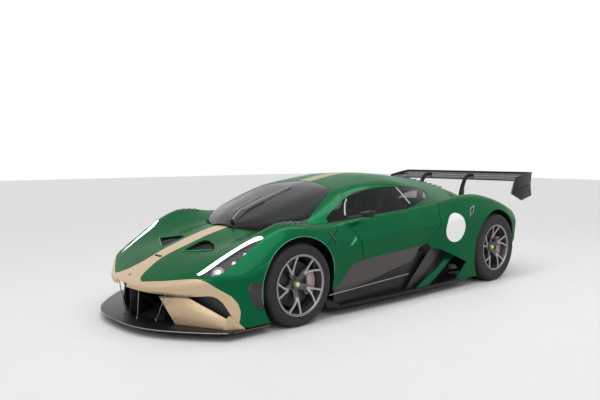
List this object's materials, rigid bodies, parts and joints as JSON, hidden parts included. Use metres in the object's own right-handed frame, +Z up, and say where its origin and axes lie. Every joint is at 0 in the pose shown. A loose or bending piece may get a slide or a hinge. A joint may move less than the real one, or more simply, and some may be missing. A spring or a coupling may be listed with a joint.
{
  "type": "closed track car",
  "caption": "Low two-seat track car with its engine in the middle, a front splitter and a tall rear wing.",
  "frame": {"origin": "on the floor, at the middle of the length and width", "axes": "-Y towards the nose, +X to the car's left side, +Z up"},
  "size_m": [2, 4.6, 1.148],
  "materials": {
    "black_steel": "satin",
    "black_trim": "matte",
    "caliper_paint": "satin",
    "carbon": "satin",
    "clear_lens": "gloss",
    "dark_glass": "gloss",
    "disc_carbon": "matte",
    "engine_alloy": "satin",
    "gold_paint": "satin",
    "green_paint": "gloss",
    "grey_trim": "matte",
    "lamp_black": "gloss",
    "lamp_red": "gloss",
    "mesh_black": "matte",
    "rim_metal": "satin",
    "seat_shell": "matte",
    "steel_pipe": "brushed",
    "tyre_rubber": "matte",
    "upright_alloy": "satin"
  },
  "bodies": {
    "body": {"cheeks": "gold_paint", "dashboard": "grey_trim", "diffuser": "carbon", "door_hinges": "green_paint", "end_plates": "carbon", "engine": "engine_alloy", "engine_cover": "green_paint", "exhausts": "steel_pipe", "floor": "carbon", "front_arms": "black_steel", "front_clam": "green_paint", "front_grilles": "mesh_black", "headlamp_lenses": "clear_lens", "headlamps": "lamp_black", "intake_walls": "carbon", "nose_duct": "mesh_black", "quarter_glass": "dark_glass", "rear_arms": "black_steel", "rear_calipers": "caliper_paint", "rear_clam": "green_paint", "rear_uprights": "upright_alloy", "roll_cage": "black_steel", "roof": "green_paint", "seats": "seat_shell", "side_panels": "carbon", "splitter": "carbon", "splitter_stays": "carbon", "steering_wheel": "black_trim", "strakes": "green_paint", "tail_lamps": "lamp_red", "tail_panel": "mesh_black", "tow_eye": "black_steel", "tub": "carbon", "windscreen": "dark_glass", "wing_planes": "carbon", "wing_struts": "carbon"},
    "knuckle_left": {"front_caliper_left": "caliper_paint", "front_upright_left": "upright_alloy"},
    "knuckle_right": {"front_caliper_right": "caliper_paint", "front_upright_right": "upright_alloy"},
    "wheel_fl": {"brake_disc_fl": "disc_carbon", "rim_fl": "rim_metal", "tyre_fl": "tyre_rubber"},
    "wheel_fr": {"brake_disc_fr": "disc_carbon", "rim_fr": "rim_metal", "tyre_fr": "tyre_rubber"},
    "wheel_rl": {"brake_disc_rl": "disc_carbon", "rim_rl": "rim_metal", "tyre_rl": "tyre_rubber"},
    "wheel_rr": {"brake_disc_rr": "disc_carbon", "rim_rr": "rim_metal", "tyre_rr": "tyre_rubber"},
    "door_left": {"door_glass_left": "dark_glass", "door_left": "green_paint", "mirror_left": "carbon"},
    "door_right": {"door_glass_right": "dark_glass", "door_right": "green_paint", "mirror_right": "carbon"}
  },
  "joints": [
    {"name": "steer_left", "type": "hinge", "parent": "body", "child": "knuckle_left", "pos_m": [0.7627, -1.2, 0.325], "axis": [0, 0, 1], "range_deg": [-22, 22]},
    {"name": "steer_right", "type": "hinge", "parent": "body", "child": "knuckle_right", "pos_m": [-0.7627, -1.2, 0.325], "axis": [0, 0, 1], "range_deg": [-22, 22]},
    {"name": "spin_fl", "type": "hinge", "parent": "knuckle_left", "child": "wheel_fl", "pos_m": [0.795, -1.2, 0.325], "axis": [1, 0, 0], "continuous": true},
    {"name": "spin_fr", "type": "hinge", "parent": "knuckle_right", "child": "wheel_fr", "pos_m": [-0.795, -1.2, 0.325], "axis": [1, 0, 0], "continuous": true},
    {"name": "spin_rl", "type": "hinge", "parent": "body", "child": "wheel_rl", "pos_m": [0.789, 1.495, 0.355], "axis": [1, 0, 0], "continuous": true},
    {"name": "spin_rr", "type": "hinge", "parent": "body", "child": "wheel_rr", "pos_m": [-0.789, 1.495, 0.355], "axis": [1, 0, 0], "continuous": true},
    {"name": "door_left_hinge", "type": "hinge", "parent": "body", "child": "door_left", "pos_m": [0.908, -0.655, 0.6], "axis": [0, 0, -1], "range_deg": [0, 50]},
    {"name": "door_right_hinge", "type": "hinge", "parent": "body", "child": "door_right", "pos_m": [-0.908, -0.655, 0.6], "axis": [0, 0, 1], "range_deg": [0, 50]}
  ],
  "couplings": [
    {"joint": "steer_right", "follows": "steer_left", "ratio": 1}
  ]
}
